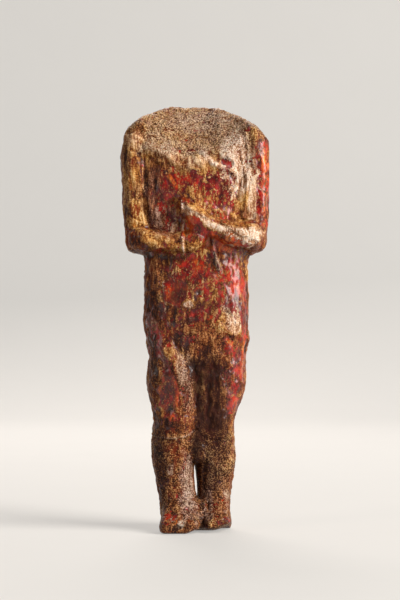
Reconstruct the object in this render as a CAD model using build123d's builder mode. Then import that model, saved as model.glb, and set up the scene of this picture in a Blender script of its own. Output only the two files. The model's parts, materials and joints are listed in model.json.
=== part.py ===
"""A headless standing figure carved from one lump of red amber, with its weathered crust.

The figure faces -Y and stands on its soles at Z = 0, with +X at its own left hand. Everything is in
millimetres. The carved amber is one solid. The crust lies on it as thin plates, which cracks and
worn windows part from each other, so each plate is a solid of its own.
"""

import os
from math import copysign, cos, pi, sin

from build123d import *

# Driving dimensions. Widths and depths are measured over the crust.
crust_depth = 0.5  # how thick the weathered layer is on the sound amber
crack = 0.3  # the gap between two neighbouring plates of crust

# Lengths up the body, each from the end of the one before it.
ankle_height = 11.0
calf_length = 13.0  # from the ankle to the fullest of the calf
knee_length = 7.0  # from there to the knee
thigh_length = 19.0  # from the knee to the crotch
hip_length = 16.0  # from the crotch to the fullest of the hips
waist_length = 12.5  # from there to the undersides of the elbows
arm_length = 35.0  # from there to where the shoulders begin to round over
neck_length = 6.5  # from there to the highest point of the break

# Widths and depths of the body.
hip_width = 30.2
hip_depth = 20.4
waist_width = 28.9
waist_depth = 18.4
chest_width = 33.0
chest_depth = 18.6

arm_width = 8.2
arm_depth = 15.0
arm_spread = 34.6  # between the middles of the upper arms
forearm_height = 7.6
forearm_depth = 9.0
hand_depth = 5.0

leg_spread = 12.8  # between the middles of the legs
stride = 3.0  # how far the right leg stands in front of the left
thigh_width = 14.4
thigh_depth = 17.4
knee_width = 12.2
knee_depth = 14.6
calf_width = 12.4
calf_depth = 14.0
ankle_width = 10.2
ankle_depth = 11.6
foot_width = 12.4
foot_length = 18.4
foot_height = 7.0
left_foot_share = 0.7

shoulder_radius = 33.0  # how the shoulders and the top of the break are rounded from side to side
break_width = 20.0  # of the part of the break that keeps its crust
break_angle = 41.0  # how steeply the break at the neck slopes down to the front
break_rim = 7.4  # how far behind the middle of the body its upper end is
break_radius = 30.0  # how hollow it is from side to side

gap_bottom = 10.6  # the slit between the shins runs from here
gap_top = 19.5  # to here
bridge_width = 4.2
bridge_back = 4.3  # how far behind the middle of the body the amber between the legs reaches
knee_bridge_front = 5.2  # and how far in front of it, between the knees and thighs
foot_bridge_front = 7.4  # and between the feet

# Heights that follow from the lengths.
calf_z = ankle_height + calf_length
knee_z = calf_z + knee_length
crotch_z = knee_z + thigh_length
hip_z = crotch_z + hip_length
elbow_z = hip_z + waist_length
shoulder_z = elbow_z + arm_length
top_z = shoulder_z + neck_length
break_slope = break_angle * pi / 180

ring_points = 12


def ring(x, y, half_width, half_depth, squareness):
    """A closed smooth outline between an ellipse, at a squareness of 2, and a rectangle."""
    power = 2 / squareness
    points = []
    for step in range(ring_points):
        turn = 2 * pi * step / ring_points
        u, v = cos(turn), sin(turn)
        points.append(
            (
                x + half_width * copysign(abs(u) ** power, u),
                y + half_depth * copysign(abs(v) ** power, v),
            )
        )
    # Even parameters give every ring the same knots, which keeps the lofted surface light.
    return Edge.make_spline(points, periodic=True, parameters=[float(n) for n in range(ring_points + 1)])


def with_midpoints(stations):
    """The same stations with one more between each two, on a smooth curve through all of them."""
    count = len(stations)
    slopes = []
    for n in range(count):
        before, after = stations[max(n - 1, 0)], stations[min(n + 1, count - 1)]
        slopes.append([(q - p) / (after[0] - before[0]) for p, q in zip(before, after)])
    filled = [stations[0]]
    for n in range(1, count):
        low, high = stations[n - 1], stations[n]
        bend = (high[0] - low[0]) / 8
        filled.append(
            tuple((p + q) / 2 + bend * (m - k) for p, q, m, k in zip(low, high, slopes[n - 1], slopes[n]))
        )
        filled.append(high)
    return filled


def limb(stations, skin, base=Plane.XY):
    """A smooth solid through outlines (distance, centre x, centre y, width, depth, squareness).

    Every outline, and each end, is drawn in by skin.
    """
    if len(stations) < 10:
        stations = with_midpoints(stations)  # so few would be joined by one stiff curve that swings out
    last = len(stations) - 1
    with BuildPart() as part:
        for number, (distance, x, y, width, depth, squareness) in enumerate(stations):
            drawn_in = distance + skin * ((number == 0) - (number == last))
            with BuildSketch(base.offset(drawn_in)):
                with BuildLine():
                    add(ring(x, y, width / 2 - skin, depth / 2 - skin, squareness))
                make_face()
        loft()
    return part.part


def trunk(skin):
    """Hips, belly, chest and sloping shoulders, from between the thighs to above the break."""
    # How high, how far across, how far back, how wide and how deep.
    stations = [
        (crotch_z - 9, 0.6, 0.4, 0.24 * hip_width, 0.5 * hip_depth),
        (crotch_z - 4, 0.5, 0.4, 0.62 * hip_width, 0.74 * hip_depth),
        (crotch_z + 1, 0.2, 0.4, 0.9 * hip_width, 0.92 * hip_depth),
        (crotch_z + 0.5 * hip_length, 0.2, 0.5, 0.98 * hip_width, hip_depth),
        (hip_z, 0.4, 0.0, 0.97 * hip_width, 0.97 * hip_depth),
        (elbow_z - 1, 0.45, 0.3, waist_width, waist_depth),
        (elbow_z + 0.32 * arm_length, 0.0, 0.6, chest_width, 0.97 * chest_depth),
        (elbow_z + 0.66 * arm_length, -0.1, 0.9, chest_width, chest_depth),
        (shoulder_z - 3, -0.2, 1.1, chest_width, 0.96 * chest_depth),
        (shoulder_z + 0.4 * neck_length, -0.7, 1.6, 0.98 * chest_width, 0.88 * chest_depth),
        (top_z + 2, -0.8, 2.0, 0.92 * chest_width, 0.74 * chest_depth),
    ]
    return limb([(*station, 2.8) for station in stations], skin)


def leg(right, skin):
    """One leg, from the sole to inside the hips. The right one bows out at the calf."""
    side, out, ahead = (-1, leg_spread / 2, -stride / 2) if right else (1, leg_spread / 2, stride / 2)
    # How high, how far in on the right leg and on the left, how far forward, how wide the right leg
    # and the left are, and how deep.
    stations = [
        (-2.0, 1.5, 0.9, -0.8, 0.84 * foot_width, 0.76 * foot_width, 0.72 * foot_length),
        (0.6 * foot_height, 1.2, 0.9, -0.8, 0.8 * foot_width, 0.75 * foot_width, 0.68 * foot_length),
        (ankle_height, 1.2, 1.2, -1.6, 1.11 * ankle_width, 0.93 * ankle_width, ankle_depth),
        (ankle_height + 0.5 * calf_length, 0.2, 1.0, -1.8,
         0.95 * calf_width, 0.91 * calf_width, 0.93 * calf_depth),
        (calf_z, 0.0, 0.9, -1.5, 1.02 * calf_width, 0.96 * calf_width, calf_depth),
        (knee_z, 0.4, 0.8, -0.4, 1.02 * knee_width, 0.96 * knee_width, knee_depth),
        (knee_z + 0.5 * thigh_length, 0.0, -0.7, 0.0,
         1.02 * thigh_width, 1.01 * thigh_width, 0.97 * thigh_depth),
        (knee_z + 0.8 * thigh_length, 0.1, -0.9, 0.0, 1.02 * thigh_width, 1.01 * thigh_width, thigh_depth),
        (crotch_z + 1, 0.2, -1.2, 0.0, 0.96 * thigh_width, 0.98 * thigh_width, 0.98 * thigh_depth),
        (crotch_z + 0.5 * hip_length, 0.4, -0.6, -0.6,
         0.9 * thigh_width, 0.76 * thigh_width, 0.92 * thigh_depth),
    ]
    return limb(
        [
            (up, side * (out - (inward if right else left_inward)), ahead - forward,
             wide if right else left_wide, deep, 2.3)
            for up, inward, left_inward, forward, wide, left_wide, deep in stations
        ],
        skin,
    )


def foot(right, skin):
    """The front of one foot, a block with a rounded top, from the heel to the toes."""
    side, inward, share = (-1, 2.0, 1.0) if right else (1, 0.1, left_foot_share)
    toe = 0.62 * foot_length + (stride / 2 if right else -stride / 2)
    # How far back from the toes, how wide and how tall.
    stations = [
        (0.84, 0.72, 1.0),
        (0.5, 0.9, 1.5),
        (0.26, 0.98, 1.06),
        (0.1, 0.96, 0.76),
        (0.025, 0.8, 0.58),
        (0.0, 0.5, 0.36),
    ]
    return limb(
        [
            (toe - back * foot_length, side * (leg_spread / 2 - inward), 0.0,
             foot_width * share * wide, 2 * foot_height * tall, 2.6)
            for back, wide, tall in stations
        ],
        skin,
        Plane.XZ,
    )


def bridge(bottom, top, front, skin):
    """The amber left standing between the legs, from one height to another."""
    with BuildPart() as part:
        with Locations((0.9, (bridge_back - front) / 2, (bottom + top) / 2)):
            Box(bridge_width, bridge_back + front - 2 * skin, top - bottom - 2 * skin)
    return part.part


def upper_arm(side, skin):
    """One upper arm, flat against the chest, from under the elbow to the shoulder."""
    out = arm_spread / 2
    # How high, how far out, how far back, how wide and how deep.
    stations = [
        (0.3, out - 2.4, -0.4, 0.56 * arm_width, 0.56 * arm_depth),
        (1.6, out - 1.5, -0.5, 0.9 * arm_width, 0.82 * arm_depth),
        (4.6, out - 1.1, -0.4, arm_width, 0.97 * arm_depth),
        (8.5, out - 0.9, -0.2, arm_width, arm_depth),
        (0.36 * arm_length, out - 0.5, 0.1, 0.96 * arm_width, 0.98 * arm_depth),
        (0.54 * arm_length, out - 0.1, 0.5, 0.93 * arm_width, 0.98 * arm_depth),
        (0.75 * arm_length, out, 0.9, 0.96 * arm_width, 1.02 * arm_depth),
        (0.88 * arm_length, out, 1.1, 0.94 * arm_width, arm_depth),
        (arm_length, out - 0.8, 1.3, 0.9 * arm_width, 0.9 * arm_depth),
        (arm_length + 4, out - 2.4, 1.6, 0.82 * arm_width, 0.7 * arm_depth),
    ]
    return limb([(elbow_z + up, side * x, y, wide, deep, 2.6) for up, x, y, wide, deep in stations], skin)


def right_forearm(skin):
    """The lower of the two folded forearms, with the right hand flat on the belly."""
    out = -arm_spread / 2
    y = -0.44 * chest_depth
    return limb(
        [
            (out - 1.6, y + 2.4, elbow_z + 5.0, 0.6 * forearm_depth, 0.6 * forearm_height, 2.2),
            (out, y + 1.6, elbow_z + 4.6, 0.9 * forearm_depth, 0.96 * forearm_height, 2.3),
            (out + 6, y + 0.4, elbow_z + 3.9, forearm_depth, 0.9 * forearm_height, 2.3),
            (out + 12, y, elbow_z + 3.3, 0.86 * forearm_depth, 0.78 * forearm_height, 2.3),
            (out + 17, y - 0.2, elbow_z + 4.0, 1.5 * hand_depth, 0.9 * forearm_height, 2.4),
            (out + 20.4, y, elbow_z + 4.6, 1.1 * hand_depth, 0.6 * forearm_height, 2.3),
        ],
        skin,
        Plane.YZ,
    )


def left_forearm(skin):
    """The upper forearm, rising to the left hand, which lies over the right wrist."""
    out = arm_spread / 2
    y = -0.44 * chest_depth
    return limb(
        [
            (out - 23, y + 0.6, elbow_z + 14.8, 0.9 * hand_depth, 0.5 * forearm_height, 2.2),
            (out - 20.4, y + 0.3, elbow_z + 12.8, 1.4 * hand_depth, 0.96 * forearm_height, 2.4),
            (out - 16.4, y, elbow_z + 9.8, 1.6 * hand_depth, 1.16 * forearm_height, 2.4),
            (out - 12, y - 0.1, elbow_z + 7.4, 0.84 * forearm_depth, 0.9 * forearm_height, 2.3),
            (out - 6, y + 0.4, elbow_z + 5.4, forearm_depth, 1.06 * forearm_height, 2.3),
            (out, y + 1.6, elbow_z + 5.2, 0.9 * forearm_depth, 1.1 * forearm_height, 2.3),
            (out + 1.6, y + 2.4, elbow_z + 5.2, 0.6 * forearm_depth, 0.7 * forearm_height, 2.2),
        ],
        skin,
        Plane.YZ,
    )


def above_shoulders():
    """Everything above the rounded line over both shoulders."""
    with BuildPart() as part:
        with Locations((-1, 0, top_z)):
            Box(4 * chest_width, 4 * chest_depth, 4 * neck_length)
        with Locations((-1, 0, top_z - shoulder_radius)):
            Cylinder(shoulder_radius, 4 * chest_depth, rotation=(90, 0, 0), mode=Mode.SUBTRACT)
    return part.part


def figure(skin):
    """The whole carving with its surface drawn in by skin, and its break and flat soles cut."""
    limbs = [trunk(skin), right_forearm(skin), left_forearm(skin)]
    limbs += [bridge(-2, gap_bottom, foot_bridge_front, skin)]
    limbs += [bridge(gap_top, crotch_z, knee_bridge_front, skin)]
    for right in (True, False):
        limbs += [leg(right, skin), foot(right, skin), upper_arm(-1 if right else 1, skin)]
    with BuildPart() as body:
        add(limbs)
        with Locations(break_plane * Pos(0, 0, break_radius)):
            Cylinder(break_radius + skin, 4 * chest_depth, rotation=(90, 0, 0), mode=Mode.SUBTRACT)
        add(above_shoulders(), mode=Mode.SUBTRACT)
        split(bisect_by=Plane.XY, keep=Keep.TOP)
    return body.part


def region(low, high, centre, half, points, near=-30.0, far=0.0):
    """A block behind a smooth outline seen from the front, from one Y to another.

    Each point is how far across, in shares of half from the centre, and how far up from low to high.
    """
    with BuildPart() as part:
        with BuildSketch(Plane.XZ.offset(-far)):
            with BuildLine():
                Spline(*[(centre + u * half, low + v * (high - low)) for u, v in points], periodic=True)
            make_face()
        extrude(amount=far - near)
    return part.part


def band(low, high, from_x, to_x, near=-30.0, far=30.0):
    """A rectangular block between two heights, two X and two Y."""
    with BuildPart() as part:
        with Locations(((from_x + to_x) / 2, (near + far) / 2, (low + high) / 2)):
            Box(to_x - from_x, far - near, high - low)
    return part.part


# The plane of the break. Its Y runs up the slope and its Z points out of the body.
break_plane = Plane((0.8, break_rim, top_z), x_dir=(1, 0, 0), z_dir=(0, -sin(break_slope), cos(break_slope)))

# The sound amber, and the layer of crust that once covered all of it but the soles.
with BuildPart() as amber_body:
    add(figure(crust_depth))
with BuildPart() as crust:
    add(figure(0.0))
    add(amber_body.part, mode=Mode.SUBTRACT)

# Where the crust is left. Chest outlines are in shares of half its width, legs of half a thigh.
chest = (elbow_z, shoulder_z, 0.0, chest_width / 2)
belly = (crotch_z, elbow_z, 0.0, hip_width / 2)
shank = (0.0, crotch_z)
right_leg = (*shank, -leg_spread / 2, thigh_width / 2)
left_leg = (*shank, leg_spread / 2, thigh_width / 2)
arm_inside = arm_spread / 2 - 0.4 * arm_width
ledge_z = 0.54 * crotch_z  # where the crust of the right shin breaks off from that of the thigh

with BuildPart() as break_patch:
    with BuildSketch(break_plane.offset(-2)):
        with Locations((0, -0.62 * chest_depth)):
            Ellipse(break_width / 2, 0.44 * chest_depth)
    extrude(amount=6)

regions = {
    "neck_break_crust": [break_patch.part],
    "collar_crust": [
        region(*chest, [(-0.81, 0.9), (-0.6, 0.84), (-0.3, 0.75), (0.1, 0.735), (0.12, 0.67),
                        (-0.24, 0.66), (-0.6, 0.73), (-0.79, 0.82)]),
    ],
    "left_breast_crust": [
        region(*chest, [(0.5, 0.8), (0.64, 0.83), (0.73, 0.79), (0.74, 0.6), (0.68, 0.42), (0.56, 0.4),
                        (0.46, 0.6), (0.32, 0.72)]),
    ],
    "right_arm_crust": [band(elbow_z + 0.24 * arm_length, shoulder_z - 1, -30, -arm_inside, far=5.0)],
    "right_forearm_crust": [
        region(elbow_z, elbow_z + forearm_height, -chest_width / 4, chest_width / 4,
               [(-1.3, 0.7), (-0.6, 0.86), (0.1, 0.6), (0.46, 0.4), (0.0, 0.24), (-0.8, 0.3), (-1.24, 0.42)],
               far=-7.4),
    ],
    "left_arm_crust": [
        region(*chest, [(0.89, 0.88), (1.02, 0.94), (1.1, 0.6), (1.08, 0.3), (0.96, 0.27), (0.87, 0.56)]),
    ],
    "left_forearm_crust": [
        region(*chest, [(1.0, 0.25), (0.52, 0.3), (0.14, 0.4), (-0.26, 0.5), (-0.2, 0.42), (0.14, 0.32),
                        (0.52, 0.24), (0.96, 0.19)], far=-8.0),
    ],
    "belly_crust": [
        region(*belly, [(-0.5, 0.72), (-0.26, 0.78), (-0.2, 0.62), (-0.4, 0.56)]),
        region(*belly, [(-0.2, 0.5), (0.02, 0.52), (0.06, 0.4), (-0.14, 0.38)]),
        region(*belly, [(-0.1, 0.24), (0.3, 0.33), (0.7, 0.37), (0.78, 0.22), (0.4, 0.17), (0.0, 0.15)]),
    ],
    "right_flank_crust": [
        region(*belly, [(-1.1, 0.92), (-0.8, 0.94), (-0.68, 0.6), (-0.72, 0.2), (-1.1, 0.04), (-1.3, 0.5)],
               far=4.0),
    ],
    "left_flank_crust": [
        region(*belly, [(1.1, 0.94), (0.9, 0.9), (0.92, 0.5), (0.88, 0.1), (1.1, 0.0), (1.3, 0.5)],
               far=2.0),
    ],
    "right_thigh_crust": [
        region(*right_leg, [(-1.0, 0.94), (-0.2, 1.0), (0.6, 0.96), (0.74, 0.7), (0.64, 0.5), (-0.2, 0.48),
                            (-1.1, 0.5), (-1.3, 0.74)], far=1.0)
        - region(*right_leg, [(-0.2, 0.88), (0.16, 0.76), (-0.02, 0.64), (-0.36, 0.66), (-0.5, 0.78)])
        - band(0, ledge_z + crack / 2, -30, 30),
    ],
    "left_thigh_crust": [
        region(*left_leg, [(-0.6, 0.98), (0.0, 1.02), (0.44, 0.9), (0.5, 0.66), (0.3, 0.54), (-0.6, 0.56),
                           (-0.8, 0.8)]),
    ],
    "right_shin_crust": [band(0.18 * crotch_z, ledge_z - crack / 2, -30, -0.12 * leg_spread, far=4.0)],
    "left_shin_crust": [band(0.2 * crotch_z, 0.96 * ledge_z, 0.26 * leg_spread, 30, far=5.0)],
    "upper_back_crust": [
        region(*chest, [(-0.8, 0.9), (0.0, 0.96), (0.76, 0.88), (0.8, 0.5), (0.7, 0.12), (0.0, 0.06),
                        (-0.74, 0.1), (-0.84, 0.5)], near=0.0, far=30.0),
    ],
    "lower_back_crust": [
        region(*belly, [(-0.8, 0.94), (0.0, 0.98), (0.8, 0.94), (0.86, 0.5), (0.7, 0.1), (0.0, 0.02),
                        (-0.7, 0.08), (-0.86, 0.5)], near=4.0 + crack, far=30.0),
    ],
}

os.makedirs("parts", exist_ok=True)
amber_body.part.label = "amber_body"
export_step(amber_body.part, "parts/amber_body.step")
for name, blocks in regions.items():
    with BuildPart() as plate:
        add(crust.part)
        add(blocks, mode=Mode.INTERSECT)
    # A block can also catch a crumb of the crust on a limb behind, which is left out.
    largest = max(piece.volume for piece in plate.part.solids())
    pieces = [piece for piece in plate.part.solids() if piece.volume > 0.1 * largest]
    kept = Compound(children=pieces, label=name) if len(pieces) > 1 else pieces[0]
    kept.label = name
    export_step(kept, f"parts/{name}.step")
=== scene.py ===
import json
import math

import bpy
import numpy as np
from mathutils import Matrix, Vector
from mathutils.bvhtree import BVHTree


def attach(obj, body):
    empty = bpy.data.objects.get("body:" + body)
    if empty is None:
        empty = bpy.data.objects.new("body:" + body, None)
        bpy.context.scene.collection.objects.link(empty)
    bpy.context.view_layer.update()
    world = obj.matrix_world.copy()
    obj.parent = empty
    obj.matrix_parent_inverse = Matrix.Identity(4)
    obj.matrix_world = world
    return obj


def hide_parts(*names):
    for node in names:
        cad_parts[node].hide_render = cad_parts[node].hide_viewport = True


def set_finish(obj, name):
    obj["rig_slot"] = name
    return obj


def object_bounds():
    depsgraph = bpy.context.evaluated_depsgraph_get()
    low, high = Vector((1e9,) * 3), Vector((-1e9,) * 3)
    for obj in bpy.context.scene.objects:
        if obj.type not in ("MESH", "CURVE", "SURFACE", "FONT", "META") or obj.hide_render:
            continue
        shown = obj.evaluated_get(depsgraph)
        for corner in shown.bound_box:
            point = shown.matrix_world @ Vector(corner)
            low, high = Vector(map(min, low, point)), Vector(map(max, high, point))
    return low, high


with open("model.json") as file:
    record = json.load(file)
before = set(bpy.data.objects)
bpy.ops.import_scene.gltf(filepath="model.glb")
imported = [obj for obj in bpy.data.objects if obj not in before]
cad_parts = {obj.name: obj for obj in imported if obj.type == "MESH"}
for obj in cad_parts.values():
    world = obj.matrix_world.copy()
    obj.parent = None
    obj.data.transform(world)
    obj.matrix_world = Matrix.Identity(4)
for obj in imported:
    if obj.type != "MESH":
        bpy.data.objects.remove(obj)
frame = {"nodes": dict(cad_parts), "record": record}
cornersAtLoad = [list(corner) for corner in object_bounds()]
nodes = frame["nodes"]
mm = 0.001
low, high = np.array(cornersAtLoad) / mm
unit = high[2] / 120  # every place below is in millimetres on a figure 120 tall
print("frame loaded,", len(nodes), "nodes")


def linear(hexColour):
    parts = [int(hexColour[i:i + 2], 16) / 255 for i in (0, 2, 4)]
    return [c / 12.92 if c <= 0.04045 else ((c + 0.055) / 1.055) ** 2.4 for c in parts] + [1.0]


def smoothStep(start, end, value):
    t = np.clip((value - start) / (end - start), 0, 1)
    return t * t * (3 - 2 * t)


# smooth noise from -1 to 1 with one cell per unit
def latticeNoise(places, seed):
    cell = np.floor(places).astype(np.int64)
    part = places - cell
    part = part * part * (3 - 2 * part)
    total = np.zeros(len(places))
    for corner in range(8):
        step = np.array([corner & 1, corner >> 1 & 1, corner >> 2 & 1])
        at = cell + step
        mixed = at[:, 0] * 73856093 ^ at[:, 1] * 19349663 ^ at[:, 2] * 83492791 ^ seed * 26544357
        mixed = (mixed ^ mixed >> 13) * 1274126177 & 0x7FFFFFFF
        mixed = (mixed ^ mixed >> 15) * 668265263 & 0x7FFFFFFF
        total += np.where(step, part, 1 - part).prod(axis=1) * (mixed / 0x3FFFFFFF - 1)
    return total


bendLumps = 3.4  # size in mm of the slow lumps that bend a noise


# noise with lumps of size millimetres, drawn out by stretch; its long way lies along (x, z)
def noise(size, seed, octaves=3, stretch=(1, 1, 1), lie=(0, 1), bend=0.0):
    total, strength, reach = np.zeros(len(p)), 1.0, 0.0
    dx, dz = lie[0] / math.hypot(*lie), lie[1] / math.hypot(*lie)
    turned = np.stack([p[:, 0] * dz - p[:, 2] * dx, p[:, 1], p[:, 0] * dx + p[:, 2] * dz], axis=1)
    if bend:
        aside, deep = noise(bendLumps, seed + 900, 2), noise(bendLumps, seed + 950, 2)
        turned = turned + bend * np.stack([aside, deep, 0 * x], axis=1)
    scaled = turned / (np.array(stretch) * size)
    for octave in range(octaves):
        total += strength * latticeNoise(scaled * 2 ** octave + 17.3 * octave, seed + 7 * octave)
        reach += strength
        strength *= 0.55  # each octave is finer and weaker
    return total / (0.6 * reach)  # most of it then lies between -1 and 1


def neighbourMean(values):
    flat = values.reshape(len(values), -1)
    ends, starts = edges[:, 0], edges[:, 1]
    total = np.stack([
        np.bincount(ends, flat[starts, k], len(flat)) + np.bincount(starts, flat[ends, k], len(flat))
        for k in range(flat.shape[1])], axis=1)
    return (total / count[:, None]).reshape(values.shape)


def vertexNormals(places):
    across, down = places[quads[:, 2]] - places[quads[:, 0]], places[quads[:, 3]] - places[quads[:, 1]]
    faceNormals = np.cross(across, down)
    total = np.stack([
        np.bincount(quads.ravel(), np.repeat(faceNormals[:, k], 4), len(places)) for k in range(3)], axis=1)
    return total / np.maximum(np.linalg.norm(total, axis=1), 1e-12)[:, None]


# the sculpted surface starts as an even skin of small faces over the CAD body
sculpt = {
    "cell": 0.385,  # spacing of its vertices
    "blend": 14,  # rounds of softening that take the edges off
    "blend step": 0.5,  # how far each goes towards the mean of the neighbours
    "fill": 130,  # rounds that fill the hollows between limbs
    "fill step": 0.9,
    "arms kept": 0.93,  # how much less the hollows of the folded arms are filled
    "settle": 0.15,  # the last softening, over the carved lines
    "lumps": 0.2,  # how far slow lumps rise and fall
    "dimples": 0.22,  # and the shallow dimples of the bare amber
    "dents": 0.26,  # and the sharper dents of the hip and the outer arm, which break up the shine
    "crests": 0.26,  # and the wrinkled crests of the crust, which follow the limbs
    "fibres": 0.12,  # and the finer grain between them
    "granules": 0.17,  # and the grit of the worn places
    "fuller arm": 0.3,  # how much fuller the outline is at its left arm
    "fuller hip": 0.3,  # and at its left hip
    "fuller waist": 0.4,  # and at the right of its waist
    "fuller shin": 0.45,  # and at its left shin
}

scratch = bpy.data.objects.new("scratch", nodes["amber_body"].data.copy())
bpy.context.collection.objects.link(scratch)
cells = scratch.modifiers.new("cells", "REMESH")
cells.mode = "VOXEL"
cells.voxel_size = sculpt["cell"] * unit * mm
cells.adaptivity = 0
evaluated = scratch.evaluated_get(bpy.context.evaluated_depsgraph_get())
cellMesh = bpy.data.meshes.new_from_object(evaluated)
bpy.data.objects.remove(scratch)
points = np.empty(len(cellMesh.vertices) * 3)
cellMesh.vertices.foreach_get("co", points)
points = points.reshape(-1, 3) / mm
quads = np.array([face.vertices[:] for face in cellMesh.polygons if len(face.vertices) == 4])
edges = np.empty(len(cellMesh.edges) * 2, np.int32)
cellMesh.edges.foreach_get("vertices", edges)
edges = edges.reshape(-1, 2)
count = np.bincount(edges.ravel(), minlength=len(points)).astype(float)
bpy.data.meshes.remove(cellMesh)
print("sculpted surface:", len(points), "points,", len(quads), "faces")

p = points / unit
onSole = p[:, 2] < 0.5 * sculpt["cell"]
for _ in range(sculpt["blend"]):
    points = points + sculpt["blend step"] * (neighbourMean(points) - points)
    points[onSole, 2] = 0

# the folded arms keep their hollows, and everywhere else limbs run into one another
foldedArms = smoothStep(76, 79, p[:, 2]) * smoothStep(98, 94, p[:, 2]) * smoothStep(-4, -6, p[:, 1])
fillShare = sculpt["fill step"] * (1 - sculpt["arms kept"] * foldedArms)
for turn in range(sculpt["fill"]):
    if turn % 10 == 0:  # they hardly turn in between
        normals = vertexNormals(points)
    out = ((neighbourMean(points) - points) * normals).sum(axis=1)
    points = points + normals * (np.maximum(out, 0) * fillShare)[:, None]
    points[onSole, 2] = 0
points[:, 2] = np.maximum(points[:, 2], 0)
normals = vertexNormals(points)
p = points / unit
x, y, z = p.T
front = smoothStep(0.0, 0.5, -normals[:, 1])
back = smoothStep(0.0, 0.5, normals[:, 1])
wander = np.stack([noise(4, 301, 3), noise(4, 401, 3)], axis=1)  # how places and lines stray


# how near each point is to a line through places (x, z), 1 on it and 0 well away
def nearLine(path, width, side=front, ragged=0.35):
    path = np.array(path, float)
    best = np.full(len(p), 1e9)
    alongX, upZ = x + ragged * wander[:, 0], z + ragged * wander[:, 1]
    for start, end in zip(path[:-1], path[1:]):
        run = end - start
        t = np.clip(((alongX - start[0]) * run[0] + (upZ - start[1]) * run[1]) / (run @ run), 0, 1)
        best = np.minimum(best, (alongX - start[0] - t * run[0]) ** 2 + (upZ - start[1] - t * run[1]) ** 2)
    return np.exp(-best / width ** 2) * side


# how far inside a tilted oval each point is, with an edge that wanders
def inOval(cx, cz, wide, tall, tilt=0.0, side=front, ragged=1.0):
    turn = math.radians(tilt)
    dx, dz = x - cx + ragged * wander[:, 0], z - cz + ragged * wander[:, 1]
    u, v = dx * math.cos(turn) + dz * math.sin(turn), dz * math.cos(turn) - dx * math.sin(turn)
    return smoothStep(1.35, 0.65, np.sqrt((u / wide) ** 2 + (v / tall) ** 2)) * side


collarLine = [(-17.5, 112), (-11.6, 108.6), (-6, 105), (-1.5, 104), (2, 105)]
leftForearmLine = [
    (18, 84.4), (14.8, 83.8), (11.6, 84.6), (8.2, 85.2), (4.9, 86.3), (2.4, 87.7), (-0.2, 89.4), (-2.8, 91.2)]
rightForearmLine = [(-17, 88), (-11, 83), (-6, 80.4), (4, 81.4)]
windowRim = [(-9.8, 40), (-8.6, 44), (-6.4, 44.6), (-5.2, 40), (-5.4, 35), (-7, 31.8), (-9.2, 33)]

# lines cut into the body or standing out of it: where they run, how wide, how high
strokes = {
    "right arm groove": ([(-15.2, 108), (-14.2, 103), (-13.9, 98)], 0.7, -0.4),
    "fill beside the right arm": ([(-13.2, 96), (-12.6, 91), (-11.6, 87)], 1.3, 0.9),
    "right arm ridge": ([(-16.4, 106), (-15.4, 99), (-15.4, 92), (-14.0, 86)], 0.8, 0.3),
    "right arm outer ridge": ([(-18.6, 104), (-18.2, 96), (-17.6, 89)], 0.7, 0.25),
    "fill beside the left arm": ([(14.2, 101), (14.0, 96), (13.4, 90), (13.2, 88)], 1.3, 1.1),
    "left arm ridge": ([(16.4, 110), (16.0, 100), (15.4, 90)], 0.7, 0.25),
    "collar": (collarLine, 1.5, 0.5),
    "collar shadow": ([(-13.4, 105.4), (-7.6, 102.6), (-1.5, 101.2)], 1.3, -0.35),
    "breast fold": ([(2.0, 107), (4.4, 104.6), (7.2, 102.6), (10.6, 101.8)], 0.5, 0.6),
    "breast fold shadow": ([(4.4, 106.8), (7, 105), (9.8, 104)], 0.7, -0.4),
    "chest split": ([(-4.1, 94), (-3.8, 89.6), (-3.3, 78.4)], 0.38, 0.5),
    "chest split shadow": ([(-3.4, 93), (-3.0, 89.6), (-2.5, 78.4)], 0.42, -0.45),
    "belly split": ([(4.4, 84.4), (5.2, 80), (6.8, 73.6)], 0.42, 0.55),
    "belly split shadow": ([(5.4, 83), (6.1, 80), (7.6, 74)], 0.4, -0.35),
    "forearm ridge": (leftForearmLine, 1.4, 0.2),
    "fill over the forearm": ([(13, 88.6), (8, 89.6), (3.4, 92), (-0.6, 94.6)], 1.3, 0.55),
    "end of the left hand": ([(-6, 94.4), (-4.2, 93)], 1.3, -0.7),
    "hollow under the arms": ([(-13, 78.6), (-8, 77.2), (-3, 77.4)], 0.9, -0.35),
    "wrist": ([(4.0, 84.4), (4.2, 81)], 0.7, -0.4),
    "navel": ([(1.1, 68.2), (1.0, 67.6)], 0.5, -0.8),
    "groin": ([(-6, 54.6), (-3, 50), (-0.8, 47)], 1.3, -0.55),
    "between the legs": ([(0.4, 45), (0.3, 38), (0.2, 30), (-0.6, 20)], 0.7, -0.4),
    "belly fold": ([(-8.6, 56.4), (-4, 58.6), (-0.6, 59.4)], 0.8, -0.35),
    "right hip ridge": ([(-10.6, 54), (-7.4, 49), (-5.4, 45)], 0.7, 0.35),
    "right hip hollow": ([(-11.6, 56), (-9.6, 50), (-8.6, 46)], 1.0, -0.35),
    "hip fold": ([(6.6, 58.4), (9.4, 56.6), (11.6, 53.6)], 0.5, 0.35),
    "left hip hollow": ([(9.4, 54.6), (11.4, 49), (12.6, 44.4)], 1.1, -0.3),
    "shin ledge": ([(-10.4, 27.0), (-6.4, 26.6), (-3.4, 27.2), (0.1, 28.4)], 0.3, 0.22),
    "right knee": ([(-8, 31.4), (-4, 31)], 1.8, 0.25),
    "left knee": ([(4, 31.5), (7, 31.2)], 1.6, 0.25),
    "window rim": ([
        (-9.8, 40), (-8.6, 44), (-6.4, 44.6), (-5.0, 40), (-5.2, 35), (-7, 31.8), (-9.2, 33), (-10.2, 37),
    ], 0.6, 0.3),
    "window hollow": ([(-7.4, 41), (-7.4, 35)], 1.8, -0.35),
    "toe break": ([(-6.4, 4.6), (-4.6, 3.0), (-3.2, 1.4)], 1.3, -0.6),
}
carved = np.zeros(len(p))
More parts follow.
